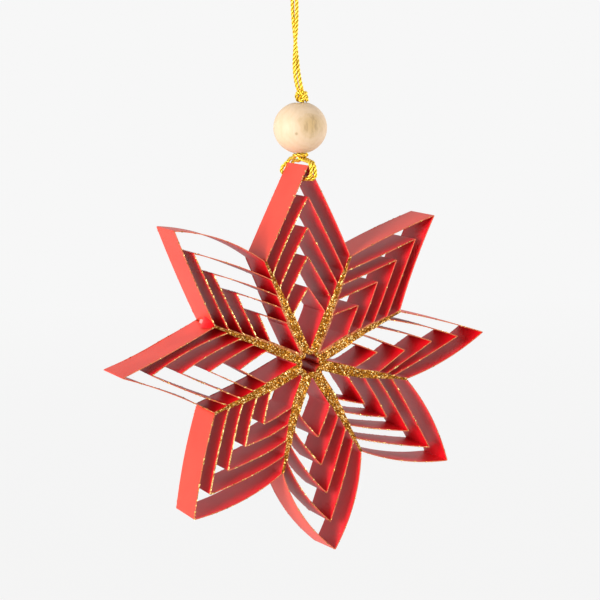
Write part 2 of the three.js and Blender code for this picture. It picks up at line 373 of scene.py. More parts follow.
def smooth_route(route, spacing):
    """Points at an even spacing on the centripetal Catmull-Rom curve through the route."""
    points = np.array(route, float)
    points = np.vstack([2 * points[0] - points[1], points, 2 * points[-1] - points[-2]])
    dense = []
    for p0, p1, p2, p3 in zip(points, points[1:], points[2:], points[3:]):
        t1 = math.sqrt(np.linalg.norm(p1 - p0))
        t2 = t1 + math.sqrt(np.linalg.norm(p2 - p1))
        t3 = t2 + math.sqrt(np.linalg.norm(p3 - p2))
        t = np.linspace(t1, t2, 40, endpoint=False)[:, None]

        def between(a, b, start, end):
            return (end - t) / (end - start) * a + (t - start) / (end - start) * b

        a1, a2, a3 = between(p0, p1, 0, t1), between(p1, p2, t1, t2), between(p2, p3, t2, t3)
        b1, b2 = between(a1, a2, 0, t2), between(a2, a3, t1, t3)
        dense.append(between(b1, b2, t1, t2))
    line = np.vstack([*dense, points[-2:-1]])
    run = np.concatenate([[0], np.cumsum(np.linalg.norm(np.diff(line, axis=0), axis=1))])
    even = np.linspace(0, run[-1], max(2, round(run[-1] / spacing) + 1))
    return np.stack([np.interp(even, run, line[:, k]) for k in range(3)], axis=1), run[-1]


def carried_axes(line, closed=False):
    """At each point, two directions square to the line that turn with it as little as possible."""
    if closed:
        tangents = np.roll(line, -1, axis=0) - np.roll(line, 1, axis=0)
    else:
        tangents = np.gradient(line, axis=0)
    tangents /= np.linalg.norm(tangents, axis=1)[:, None]
    side = np.cross(tangents[0], (0.3, 0.9, 0.2))
    sides = []
    for tangent in tangents:
        side = side - tangent * np.dot(side, tangent)
        side /= np.linalg.norm(side)
        sides.append(side)
    sides = np.array(sides)
    return sides, np.cross(tangents, sides)


def twist_cord(body, line, length, closed=False):
    """Adds the plies of a cord along a line in millimetres to a Sweeps body."""
    across, over = carried_axes(line, closed)
    stations = len(line)
    turns = length / TWIST_PITCH
    if closed:
        turns = round(turns)
    share = np.arange(stations) / (stations if closed else stations - 1)
    ring = np.arange(PLY_SIDES) * 2 * math.pi / PLY_SIDES
    ply_place = CREST_DIAMETER / 2 - PLY_RADIUS
    for ply in range(PLIES):
        phase = 2 * math.pi * (turns * share + ply / PLIES)
        outward = across * np.cos(phase)[:, None] + over * np.sin(phase)[:, None]
        sideways = over * np.cos(phase)[:, None] - across * np.sin(phase)[:, None]
        middle = line + outward * ply_place
        rings = (
            middle[:, None, :]
            + outward[:, None, :] * (PLY_RADIUS * np.cos(ring))[None, :, None]
            + sideways[:, None, :] * (PLY_RADIUS * np.sin(ring))[None, :, None]
        )
        # The mark is 1 on the outside of each ply and 0 against the cord's middle, for the finish's
        # painted shade and highlight
        body.add(rings * MM, closed, 0.5 + 0.5 * np.cos(ring))


# %% [markdown]
# ### The hanging loop
#
# The two strands above the bead are one cord that goes up to the hook and back, and they wind half
# round each other on the way. The route is the measured model's, as points that the cord passes
# through.

# %% Hanging loop
hanging_route = [
    (1.35, -0.4, -42.8), (0.95, -0.25, -40.6), (0.65, 0, -38.1), (0.5, 0.2, -35.6),
    (0.35, 0.4, -33.1), (0.15, 0.5, -30.6), (-0.05, 0.55, -28.1), (-0.3, 0.5, -25.6),
    (-0.5, 0.35, -23.1), (-0.6, 0.2, -20.1), (-0.85, 0.05, -17.1), (-1.6, 0, -14.1),
    (-2.5, 0, -11.1), (-3.3, 0, -8.1), (-3.8, 0, -5.1), (-3.4, 0, -2.3),
    (-2, 0, -0.2), (0, 0, 0.5), (2, 0, -0.2), (3.4, 0, -2.3),
    (3.8, 0, -5.1), (3.3, 0, -8.1), (2.5, 0, -11.1), (1.6, 0, -14.1),
    (0.8, -0.05, -17.1), (0.45, -0.2, -20.1), (0.35, -0.35, -23.1), (0.2, -0.5, -25.6),
    (0, -0.55, -28.1), (-0.25, -0.5, -30.6), (-0.4, -0.4, -33.1), (-0.5, -0.2, -35.6),
    (-0.4, 0, -38.1), (0, 0.25, -40.6), (0.6, 0.4, -42.8),
]


def hanging_loop():
    line, length = smooth_route(hanging_route, TWIST_PITCH / TWIST_STEPS)
    body = Sweeps()
    twist_cord(body, line, length)
    loop = body.make("hanging_loop", cord_finish, smooth_below=60)
    print("hanging loop:", round(length, 1), "mm of cord,", len(body.faces), "faces")
    return loop, line * MM, length * MM


loop_piece, loop_line, loop_length = hanging_loop()

# %% [markdown]
# ### The knot
#
# An overhand knot stops the bead. Its shape is the trefoil, a curve that passes over and under
# itself three times, drawn by a formula and squeezed to the size of the measured lump. Two short
# ends of cord run down through its middle.

# %% Knot
knot_low, knot_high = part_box("cord_knot")
knot_middle = (knot_low + knot_high) / 2 / MM
knot_size = (knot_high - knot_low) / MM


def knot():
    t = np.linspace(0, 2 * math.pi, 90, endpoint=False)
    trefoil = np.stack([
        np.sin(t) + 2 * np.sin(2 * t),
        np.cos(t) - 2 * np.cos(2 * t),
        -np.sin(3 * t),
    ], axis=1)
    reach = np.array(knot_size) / 2 - CORD_DIAMETER / 2
    line = trefoil / np.abs(trefoil).max(axis=0) * reach + np.array(knot_middle)
    length = np.linalg.norm(line - np.roll(line, 1, axis=0), axis=1).sum()
    body = Sweeps()
    twist_cord(body, line, length, closed=True)
    for end in (hanging_route[0], hanging_route[-1]):
        low = (knot_middle.x, 0.2 * end[1], knot_low.z / MM)
        core, run = smooth_route([end, knot_middle, low], TWIST_PITCH / TWIST_STEPS)
        twist_cord(body, core, run)
    made = body.make("knot", cord_finish, smooth_below=60)
    print("knot:", round(length, 1), "mm of cord in its turns")
    return made


knot_piece = knot()
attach(knot_piece, "hanger")
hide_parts("cord_knot")

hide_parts("hanging_loop_cord")
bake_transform(loop_piece)

# %% [markdown]
# ### The hitch
#
# A second length of the cord comes down through the bead, goes round the front edge of the top
# petal, under its fold, up behind it, over both strands and back the same way. It is a cow hitch,
# and pulls tight under the bead. Its points are measured from the fold's height.

# %% Hitch
hitch_route = [
    (0.3, 0, 15.5), (0.3, 0, 9.5), (0.3, 0, 3.6), (0.3, 0, 2.4),
    (0.35, -0.35, 1.6), (0.7, -1.2, 1.25), (0.95, -2.4, 1.05), (0.85, -3.8, 0.98),
    (0.6, -5.4, 0.93), (0.38, -6.8, 0.9), (0.28, -7.6, 0.6), (0.3, -8, -0.1),
    (0.4, -8.1, -0.9), (0.4, -8.1, -1.7), (0.2, -8.1, -2.4), (-0.15, -7.8, -3),
    (-0.42, -6.9, -3.35), (-0.46, -5.4, -3.5), (-0.46, 0, -3.8), (-0.46, 5.4, -3.5),
    (-0.47, 6.9, -3.4), (-0.75, 7.9, -3.1), (-1.2, 8.2, -2.3), (-1.1, 8.2, -1.45),
    (-0.45, 8.1, -0.65), (0.3, 7.8, 0.1), (0.5, 6.8, 0.9), (0.5, 4.8, 1.3),
    (0.2, 2.4, 1.8), (-0.6, 0.8, 2.2), (-0.7, -0.1, 2.3), (-0.2, -0.9, 2.3),
    (0.86, -1.25, 2.3), (1.95, -0.9, 2.3), (2.42, -0.1, 2.25), (2.3, 0.8, 1.95),
    (2.1, 1.6, 1.5), (1.95, 2.6, 1), (1.9, 4.4, 0.55), (1.85, 6, 0.55),
    (1.8, 7.1, 0.45), (1.7, 7.8, -0.1), (1.55, 8.15, -1.1), (1.3, 8.2, -2),
    (0.95, 8.1, -2.8), (0.64, 7.6, -3.3), (0.58, 6.7, -3.45), (0.58, 5.4, -3.5),
    (0.58, 0, -3.8), (0.58, -5.4, -3.5), (0.62, -6.9, -3.45), (1, -7.8, -3.3),
    (1.4, -8.1, -2.8), (1.5, -8.1, -2.1), (1.43, -8.1, -1.3), (1.36, -8, -0.5),
    (1.3, -7.6, 0.2), (1.45, -6.8, 0.6), (1.75, -5.4, 0.65), (2, -3.8, 0.75),
    (1.98, -2.4, 1.02), (1.78, -1.2, 1.27), (1.42, -0.35, 1.6), (1.42, 0, 2.4),
    (1.42, 0, 3.6), (1.42, 0, 9.5), (1.42, 0, 15.5),
]
hitch_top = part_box("hitch_cord")[1].z / MM
fold_top = hitch_top - hitch_route[0][2]


def hitch():
    line, length = smooth_route(hitch_route, TWIST_PITCH / TWIST_STEPS)
    body = Sweeps()
    twist_cord(body, line + (0, 0, fold_top), length)
    made = body.make("hitch", cord_finish, smooth_below=60)
    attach(made, "hanger")
    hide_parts("hitch_cord")
    print("hitch:", round(length, 1), "mm of cord, fold at", round(fold_top, 2))


hitch()

# %% [markdown]
# ## The wooden bead
#
# The bead is a turned ball, a little lower than it is wide, with a rounded rim at each end of its
# bore. It is one closed profile carried round the axis. The wood's growth rings are drawn round a
# line through the bead: where that line comes out, on the right of the photograph, the rings show
# as an eye and the wood is darker and streaked. A small dark pin knot sits lower down on the left.

# %% Bead
bead_low, bead_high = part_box("wooden_bead")
bead_middle = (bead_low + bead_high) / 2
bead_wide = (bead_high.x - bead_low.x) / 2
bead_tall = (bead_high.z - bead_low.z) / 2
BEAD_BORE = 3.2
RIM_ROUND = 0.5
EYE_IN_VIEW = (0.475, 0.02, 0.88)
PIN_IN_VIEW = (-0.14, -0.30, 0.94)
RING_WIDTH = 1.15
RING_WANDER = 3.6


def in_view(place):
    """A direction given by how far it points right, up and towards the photographer."""
    return (turned @ Vector(place)).normalized()


def wood_finish():
    finish, tree, shader = new_finish("pale_wood", Specular_IOR_Level=0.35)
    eye = in_view(EYE_IN_VIEW)
    place = add_node(tree, "ShaderNodeTexCoord").outputs["Object"]
    from_middle = vector_math(tree, "SUBTRACT", place, bead_middle)[0]
    across = vector_math(tree, "CROSS_PRODUCT", from_middle, eye)[0]
    away = vector_math(tree, "LENGTH", across)["Value"]
    towards = vector_math(tree, "DOT_PRODUCT", from_middle, eye)["Value"]

    # Growth rings: a wave of the distance from the eye's line, which clouds make uneven
    clouds = place_group(tree, unevenness, Size_mm=4.5)["Value"]
    wander = compute(tree, "MULTIPLY_ADD", clouds, RING_WANDER * MM, away)
    phase = compute(tree, "MULTIPLY", wander, 2 * math.pi / (RING_WIDTH * MM))
    rings = value_range(tree, compute(tree, "SINE", phase), 0.0, 0.42, -0.3, 1.0)
    colour = mix_colours(tree, rings, (0.68, 0.525, 0.375), (0.64, 0.475, 0.30))

    # The heart patch: near the eye's line, and only on the side where it comes out
    near = value_range(tree, wander, 1.0, 0.0, 2.6 * MM, 6.0 * MM)
    out_side = value_range(tree, towards, 0.0, 1.0, 0.0, 5.0 * MM)
    heart = compute(tree, "MULTIPLY", near, out_side)
    colour = mix_colours(tree, heart, colour, (0.53, 0.37, 0.18))

    # Fine pores everywhere, dark streaks in the heart and the pin knot
    grain = place_group(tree, fibres, Size_mm=0.5, Stretch=7.0)
    pores = value_range(tree, grain["Value"], 0.0, 0.30, 0.50, 0.78)
    colour = mix_colours(tree, pores, colour, (0.52, 0.35, 0.18))
    coarse = place_group(tree, fibres, Size_mm=1.1, Stretch=4.0)["Value"]
    streaks = compute(tree, "MULTIPLY", value_range(tree, coarse, 0.0, 0.9, 0.46, 0.64), heart)
    colour = mix_colours(tree, streaks, colour, (0.34, 0.23, 0.11))
    pin_place = bead_middle + in_view(PIN_IN_VIEW) * bead_wide
    from_pin = vector_math(tree, "DISTANCE", place, pin_place)["Value"]
    pinned = value_range(tree, from_pin, 0.7, 0.0, 0.15 * MM, 0.55 * MM)
    colour = mix_colours(tree, pinned, colour, (0.34, 0.24, 0.12))
    roughness = value_range(tree, grain["Value"], 0.42, 0.62)
    feed_named(tree, shader, Base_Color=colour, Roughness=roughness)
    bump(tree, shader, grain["Height"], 0.05, 0.45)
    return finish


def bead():
    tall, wide, bore = bead_tall / MM, bead_wide / MM, BEAD_BORE / 2
    rim = bore + RIM_ROUND
    ball_height = tall / math.sqrt(1 - (rim / wide) ** 2)
    ball = [
        (wide * math.cos(a), ball_height * math.sin(a))
        for a in np.linspace(-1, 1, 44) * math.acos(rim / wide)
    ]
    lip = [
        (rim - RIM_ROUND * math.sin(a), tall - RIM_ROUND + RIM_ROUND * math.cos(a))
        for a in np.linspace(0.15, 1, 6) * math.pi / 2
    ]
    wall = [(bore, z) for z in np.linspace(tall - RIM_ROUND, RIM_ROUND - tall, 10)[1:-1]]
    low_lip = [(r, -z) for r, z in reversed(lip)]
    profile = np.array(ball + lip + wall + low_lip)
    turn = np.linspace(0, 2 * math.pi, 96, endpoint=False)
    rings = np.stack([
        profile[None, :, 0] * np.cos(turn)[:, None],
        profile[None, :, 0] * np.sin(turn)[:, None],
        np.broadcast_to(profile[None, :, 1], (len(turn), len(profile))),
    ], axis=2)
    body = Sweeps()
    body.add(rings * MM + np.array(bead_middle), closed=True)
    made = body.make("bead", wood_finish(), smooth_below=50)
    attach(made, "bead")
    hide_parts("wooden_bead")
    print("bead:", round(2 * wide, 1), "by", round(2 * tall, 1), "mm,", len(body.faces), "faces")


bead()

# %% [markdown]
# ## The strips of card
#
# Every petal is five closed loops of card, one inside the other. Seen from the front, a loop is a
# line: a small curl at the hub, out along one spoke, a soft bend, a run to the sharp fold, and back
# the same way. We draw that line with complex numbers, because multiplying by a unit number turns a
# direction, and multiplying by 1j turns it a quarter to the left. The numbers are those of the
# measured star. The line is then given the card's thickness and width.

# %% Star sizes
Spoke = namedtuple("Spoke", "direction bend_reach bow")
Petal = namedtuple("Petal", (
    "name", "direction", "reach", "inner_reach", "outer_bow", "inner_bow",
    "fold_drift", "left_drift", "right_drift",
))

STRIP_WIDTH = 14
CARD_THICKNESS = 0.22
GLUE_LINE = 0.04
LAYER_PITCH = CARD_THICKNESS + GLUE_LINE
LOOPS = 5
TIP_STEP = 7.6
BEND_STEP = 3.9
HUB_HOLE_RADIUS = 2.6
SMALLEST_CURL = 0.4
BEND_RADIUS = 1.4
FOLD_ROUND = 0.25
BOW_HOLD = 1.6
BOW_END = 7
STAR_SHIFT = -0.29

spokes = [
    Spoke(66.6, 29.2, 0),
    Spoke(24.8, 27.8, 0.4),
    Spoke(-13.0, 27.7, -0.5),
    Spoke(-60.2, 27.9, 0.3),
    Spoke(-106.4, 29.1, -0.8),
    Spoke(-157.6, 28.3, 0.5),
    Spoke(-203.8, 28.0, -0.2),
    Spoke(-246.4, 29.2, 0.1),
]

# The star is made by hand, so folds and bends are off their regular places by the drifts, from the
# outermost loop inwards: sideways and up for the folds, outwards along the spoke for the bends
STILL = (0, 0, 0, 0, 0)
petals = [
    Petal(
        "top", 89.6, 50.5, 49.8, (0, 0.3), (0.4, 0.1),
        (0, -0.1 + 0.4j, -0.3 + 0.2j, -0.4 + 0.4j, -0.4 + 0.1j), STILL, STILL,
    ),
    Petal(
        "upper_right", 45.6, 50.5, 49.8, (0.4, -0.5), (-0.1, 0),
        (0, 0.4 + 0.1j, 0.3 + 0.4j, 0.2 + 0.5j, 0.2j), (0, 0, 0.3, 0.2, 0), STILL,
    ),
    Petal(
        "right", 5.3, 49.2, 49.4, (0.3, 1.1), (0.5, 0.2),
        (0.1, 0.1 + 0.1j, 0.2, 0.1 - 1.1j, -0.2 - 0.3j), STILL, (0, 0, 1.8, 3.3, 0.2),
    ),
    Petal(
        "lower_right", -36.8, 47.7, 49.1, (1.4, 1.3), (0.1, 0.3),
        (0.2 - 0.3j, 0, 0.2 + 0.3j, 0.1 - 0.1j, -0.6j), (0, -0.3, -0.4, -0.2, -1.1), STILL,
    ),
    Petal(
        "bottom", -83.2, 49.3, 49.3, (1.7, 2), (0.3, 1.2),
        (0.2 - 0.4j, -0.1 - 0.4j, -0.1 - 0.3j, -0.6 - 0.4j, -0.4 - 0.6j),
        STILL, (0, 0.6, 0.4, 0.2, -0.3),
    ),
    Petal(
        "lower_left", -131.1, 49.3, 49.8, (1.5, 0.5), (0.6, 0.2),
        (0.1 - 0.3j, -0.2 + 0.4j, -0.2 + 0.3j, -0.4 + 0.4j, -0.3),
        (0, -0.8, -0.8, -1, -1.4), STILL,
    ),
    Petal(
        "left", -180.4, 50, 49.8, (-0.7, -0.3), (0.3, 0.9),
        (-0.1 - 0.3j, -0.2 - 0.2j, -0.1 - 0.2j, -0.2 - 0.2j, 0.2 - 0.3j), STILL, STILL,
    ),
    Petal(
        "upper_left", -225.1, 50.5, 49.6, (0.2, 1.8), (0, 0.5),
        (0, -1.1 + 0.2j, -1.4 + 0.1j, -0.7 + 0.2j, -0.3), STILL, (0, -1.1, -1.6, -1.1, -1.3),
    ),
]
star_middle = fold_top - petals[0].reach

# Where outermost loops stand askew: a place seen from the fold, how far the shift reaches round it,
# and the shift of the back edge
askew = {
    "bottom": [(0, 24, 0.25 - 0.85j)],
    "left": [(0, 24, -0.6 + 0.2j), (10 - 3.5j, 11, -0.7j)],
}


def spokes_beside(index):
    """The spokes to the left and right of a petal, the left one always at the larger angle."""
    left = spokes[index - 1]
    if index == 0:
        left = left._replace(direction=left.direction + 360)
    return left, spokes[index]


# %% The line of one loop
def unit(degrees):
    return cmath.rect(1, math.radians(degrees))


def arc(centre, start, turn, steps):
    return [centre + (start - centre) * cmath.rect(1, turn * k / steps) for k in range(steps + 1)]


def with_bows(points):
    """Points of the flat drawing, moved sideways with the bows of the spokes beside them."""
    flat = np.asarray(points)
    moves = 0
    for spoke in spokes:
        outwards = unit(spoke.direction)
        seen = flat / outwards
        reach = np.clip(seen.real / spoke.bend_reach, 0, 1)
        away = np.clip((np.abs(seen.imag) - BOW_HOLD) / (BOW_END - BOW_HOLD), 0, 1)
        share = 1 - away * away * (3 - 2 * away)
        moves = moves + outwards * 1j * spoke.bow * np.sin(math.pi * reach) ** 2 * share
    return flat + moves


def side_line(spoke, layer, drift, fold, bow, hand):
    """The soft bend off the spoke and the run to the fold."""
    outwards = unit(spoke.direction)
    inwards = outwards * 1j * hand
    bend_reach = spoke.bend_reach - layer * BEND_STEP + drift
    corner = outwards * bend_reach + inwards * (layer + 0.5) * LAYER_PITCH
    chord = fold - corner
    sideways = chord / abs(chord) * 1j * -hand
    control = corner + chord / 2 + sideways * 2 * bow
    turn = cmath.phase((control - corner) / outwards)
    bend_start = corner - outwards * BEND_RADIUS * math.tan(abs(turn) / 2)
    bend = arc(bend_start + inwards * BEND_RADIUS, bend_start, turn, 8)
    steps = 18
    run = [
        bend[-1] * (1 - t) ** 2 + control * 2 * t * (1 - t) + fold * t**2
        for t in (k / steps for k in range(1, steps))
    ]
    return bend + run


def curl_of(left, right, layer):
    """Centre and radius of a loop's curl at the hub, and half the angle between its spokes."""
    half_angle = math.radians(left.direction - right.direction) / 2
    spread = 1 / math.sin(half_angle)
    outer = (HUB_HOLE_RADIUS + CARD_THICKNESS / 2 - LAYER_PITCH / 2 * spread) / (spread - 1)
    curl = max(outer - layer * LAYER_PITCH, SMALLEST_CURL)
    middle = unit((left.direction + right.direction) / 2)
    return middle * ((layer + 0.5) * LAYER_PITCH + curl) * spread, curl, half_angle


def loop_parts(index, layer):
    """A loop's curl, its right side, its fold and its left side, as lists of points."""
    petal = petals[index]
    left, right = spokes_beside(index)
    centre, curl, half_angle = curl_of(left, right, layer)
    base = arc(centre, centre + unit(left.direction) * 1j * curl, math.pi - 2 * half_angle, 12)
    reach = petal.reach if layer == 0 else petal.inner_reach - layer * TIP_STEP
    fold = unit(petal.direction) * reach + petal.fold_drift[layer]
    left_bow, right_bow = petal.outer_bow if layer == 0 else petal.inner_bow
    shorter = 1 if layer == 0 else ((LOOPS + 1 - layer) / LOOPS) ** 2
    right_side = side_line(right, layer, petal.right_drift[layer], fold, right_bow * shorter, 1)
    left_side = side_line(left, layer, petal.left_drift[layer], fold, left_bow * shorter, -1)
    # Card can't fold to a point, so the last quarter of a millimetre on either side is round
    right_side, left_side = (
        [point for point in side if abs(point - fold) > 2 * FOLD_ROUND]
        for side in (right_side, left_side)
    )
    before, after = (
        (side[-1] - fold) / abs(side[-1] - fold) * FOLD_ROUND for side in (right_side, left_side)
    )
    tip = [fold + before * (1 - t) ** 2 + after * t**2 for t in (0, 0.25, 0.5, 0.75, 1)]
    return base, right_side, tip, left_side[::-1]


def split_long(points, longest, closed):
    """The same line with extra points where two lie further apart than longest."""
    out = []
    ends = points[1:] + points[:1] if closed else points[1:]
    for a, b in zip(points, ends):
        steps = max(1, math.ceil(abs(b - a) / longest))
        out.extend(a + (b - a) * k / steps for k in range(steps))
    return out if closed else [*out, points[-1]]


def mitres(points, closed):
    """At each point, the direction square to the line, lengthened at corners."""
    p = np.array(points)
    if closed:
        arriving = p - np.roll(p, 1)
        leaving = np.roll(p, -1) - p
    else:
        steps = np.diff(p)
        arriving = np.concatenate([steps[:1], steps])
        leaving = np.concatenate([steps, steps[-1:]])
    arriving = arriving / np.abs(arriving)
    leaving = leaving / np.abs(leaving)
    middle = (arriving + leaving) * 1j
    middle = middle / np.abs(middle)
    return middle / np.real(middle * np.conj(arriving * 1j))


def back_shift(index, layer, flat):
    """How far the back edge is off the front one, on the outermost loops that stand askew."""
    fold = unit(petals[index].direction) * petals[index].reach
    shift = np.zeros(len(flat), complex)
    for place, reach, off in askew.get(petals[index].name, []) if layer == 0 else []:
        shift += off * np.clip(1 - np.abs(flat - fold - place) / reach, 0, 1)
    return shift


def stand_up(flat, depth):
    """Points of the flat drawing, as complex numbers, with their depth from front to back."""
    flat, depth = np.broadcast_arrays(np.asarray(flat), np.asarray(depth, float))
    return np.stack([flat.real + STAR_SHIFT, depth, flat.imag + star_middle], axis=-1) * MM


# %% [markdown]
# ### How the card looks
#
# It is a smooth dyed card with a slight sheen, so at a shallow angle it picks up the pale
# surroundings and looks dusty. Fine fibres and soft clouds keep it from looking like plastic. The
# outer faces of the outermost loops, which are lit most, get a paler and more orange copy of the
# red as painted light. The mark is 1 on those.


# %% Card finish
def card_finish():
    finish, tree, shader = new_finish("red_card", Specular_IOR_Level=0.25)
    clouds = place_group(tree, unevenness, Size_mm=9.0)["Value"]
    cloudy = value_range(tree, clouds, 0.0, 1.0, 0.3, 0.7)
    card_red = mix_colours(tree, cloudy, (0.67, 0.004, 0.012), (0.79, 0.006, 0.018))
    # Painted light: a paler, more orange copy of the red for the lit outer faces, standing in for the
    # lamp's sheen on them
    painted_lit_tone = mix_colours(tree, cloudy, (0.65, 0.040, 0.019), (0.73, 0.052, 0.026))
    tone = mix_colours(tree, mark_of(tree), card_red, painted_lit_tone)
    grain = place_group(tree, fibres, Size_mm=0.35)
    flecks = value_range(tree, grain["Value"], 0.0, 0.12, 0.52, 0.75)
    colour = mix_colours(tree, flecks, tone, (0.80, 0.09, 0.06))
    roughness = value_range(tree, grain["Value"], 0.36, 0.52)
    feed_named(tree, shader, Base_Color=colour, Roughness=roughness)
    bump(tree, shader, grain["Height"], 0.02, 0.35)
    return finish


card = card_finish()
print("card finish:", len(card.node_tree.nodes), "nodes")

# %% Card strips
FREE_WARP = 0.12
LAP_THICKNESS = 0.14
# Where the glued end of each petal's strip stops, past the innermost loop's bend on the right
lap_ends = {
    "top": 0, "upper_right": -0.3, "right": 0.4, "lower_right": -1, "bottom": -2.9,
    "lower_left": 0, "left": -0.5, "upper_left": -0.8,
}


def warp_along(count):
    """How far the back edge stands off the front one at each point, as a few slow waves."""
    t = np.arange(count) / count
    waves = sum(
        dice.uniform(-1, 1) * np.sin(2 * math.pi * (k * t + dice.uniform())) for k in (1, 2, 3)
    )
    return waves * FREE_WARP / 2


def step_at(line, spoke, reach):
    """The line with two points close together where it passes that reach along a spoke."""
    along = np.real(np.array(line) / unit(spoke.direction))
    beside = np.imag(np.array(line) / unit(spoke.direction)) < 3
    k = int(np.argmax(beside[1:] & (along[:-1] < reach) & (along[1:] >= reach)))
    share = (reach - along[k]) / (along[k + 1] - along[k])
    place = line[k] + (line[k + 1] - line[k]) * share
    ahead = (line[k + 1] - line[k]) / abs(line[k + 1] - line[k]) * 0.01
    before = [point for point in line[: k + 1] if abs(point - place) > 0.05]
    after = [point for point in line[k + 1:] if abs(point - place) > 0.05]
    return [*before, place - ahead, place + ahead, *after], len(before)


def card_strip(index, layer):
    petal = petals[index]
    left, right = spokes_beside(index)
    base, right_side, tip, left_side = loop_parts(index, layer)
    line = split_long([*base, *right_side, *tip, *left_side], 1.3, closed=True)
    lapped = 0
    if layer == LOOPS - 1:
        lap_reach = right.bend_reach - layer * BEND_STEP + petal.right_drift[layer]
        line, lap_stop = step_at(line, right, lap_reach + lap_ends[petal.name])
        order = np.arange(len(line))
        lapped = (order > len(base) // 2) & (order <= lap_stop)
    flat = np.array(line)
    points = with_bows(flat)
    across = mitres(points, closed=True)
    # Free stretches may lean a little from front to back. Glued ones stay straight.
    off_spoke = np.minimum(
        np.abs(np.imag(flat / unit(left.direction))),
        np.abs(np.imag(flat / unit(right.direction))),
    )
    free = np.clip((off_spoke - (layer + 1) * LAYER_PITCH) / 4, 0, 1)
    lean = warp_along(len(line)) * free * across / np.abs(across) + back_shift(index, layer, flat)
    depth = np.linspace(-1, 1, 5) * STRIP_WIDTH / 2
    leaning = points[:, None] + lean[:, None] * (depth / STRIP_WIDTH + 0.5)
    outer = leaning - (across * CARD_THICKNESS / 2)[:, None]
    inner = leaning + (across * (CARD_THICKNESS / 2 + LAP_THICKNESS * lapped))[:, None]
    outer_ring = stand_up(outer, depth[None, :])
    inner_ring = stand_up(inner[:, ::-1], depth[None, ::-1])
    body = Sweeps()
    # The mark is 1 on the outer face of the outermost loop, which gets the card finish's painted
    # light
    marks = np.repeat([1.0 if layer == 0 else 0.0, 0.0], len(depth))
    body.add(np.concatenate([outer_ring, inner_ring], axis=1), closed=True, marks=marks)
    made = body.make(f"card_{petal.name}_{layer + 1}", card, smooth_below=30)
    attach(made, "star")
    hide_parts(f"{petal.name}_petal_loop_{layer + 1}")
    return made


strips = [card_strip(index, layer) for index in range(len(petals)) for layer in range(LOOPS)]
print("card strips:", len(strips), "with", sum(len(s.data.polygons) for s in strips), "faces")

# %% [markdown]
# ### Spilled glue
#
# Where the left petal is glued to its upper neighbour, too much glue went on and filled the groove
# between their outer faces. Near the front it soaked into the card, which turned a deeper red.
# Further back it dried as one drop, whose whitish colour is a painted highlight. Both are the
# groove's cross-section carried from front to back, thinner towards the ends.

# %% Glue film and drop
GLUE_GROOVE = 6
GLUE_STATIONS = 24
GLUE_ROOT = 0.4
GLUE_BULGE = 0.7
GLUE_LIFT = 0.14


def glue_finish(name, deep, pale, roughness, shine):
    finish, tree, shader = new_finish(name, Specular_IOR_Level=shine)
    clouds = place_group(tree, unevenness, Size_mm=1.2)["Value"]
    spread = value_range(tree, clouds, roughness, roughness + 0.15)
    feed_named(tree, shader, Base_Color=mix_colours(tree, clouds, deep, pale), Roughness=spread)
    return finish


def glue(name, finish, front, back, swell):
    spoke = spokes[GLUE_GROOVE]
    outwards = unit(spoke.direction)
    corner = outwards * spoke.bend_reach
    to_folds = [
        unit(petal.direction) * petal.reach - corner
        for petal in (petals[GLUE_GROOVE], petals[GLUE_GROOVE + 1])
    ]
    one_side, other_side = (run / abs(run) for run in to_folds)
    depth = np.linspace(front, back, GLUE_STATIONS)
    width = swell * np.sin(np.linspace(0.1, np.pi - 0.1, GLUE_STATIONS)) ** 0.6
    surface = [
        one_side * (1 - t) ** 2 + outwards * GLUE_BULGE * t * (1 - t) + other_side * t**2
        for t in (0, 0.25, 0.5, 0.75, 1)
    ]
    ring = np.array([-GLUE_ROOT * outwards, *surface])
    flat = with_bows(corner + GLUE_LIFT * outwards + ring[None, :] * width[:, None])
    body = Sweeps()
    body.add(stand_up(flat, depth[:, None]), closed=False)
    made = body.make(name, finish, smooth_below=50)
    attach(made, "star")
    print(name, round(back - front, 1), "mm long")


soaked = glue_finish("soaked_card", (0.55, 0.0, 0.002), (0.72, 0.0, 0.004), 0.35, 0.12)
# The drop's pale pink is a painted highlight
dried = glue_finish("dried_glue_painted_highlight", (0.62, 0.14, 0.13), (0.72, 0.34, 0.32), 0.2, 0.5)
glue("glue_film", soaked, -6.8, 1.2, 2.1)
glue("glue_drop_highlight", dried, -0.9, 3.9, 0.75)

# %% [markdown]
# ## The glitter
#
# The front and back edges were dipped in glue and gold glitter. On the spokes, where ten edges lie
# side by side, it makes one thick crust. On the free edges there is only a thin line with grains
# here and there. We build the crust as a grid whose points are pushed about at random and shaded
# flat, so that every small face catches the light its own way, and the line as a low ridge that
# swells where a grain sits. The mark on each point says what it carries: 0 is the bare cut card,
# 0.5 is dried glue without grains, 0.85 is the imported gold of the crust, and 1 a bright lone grain.


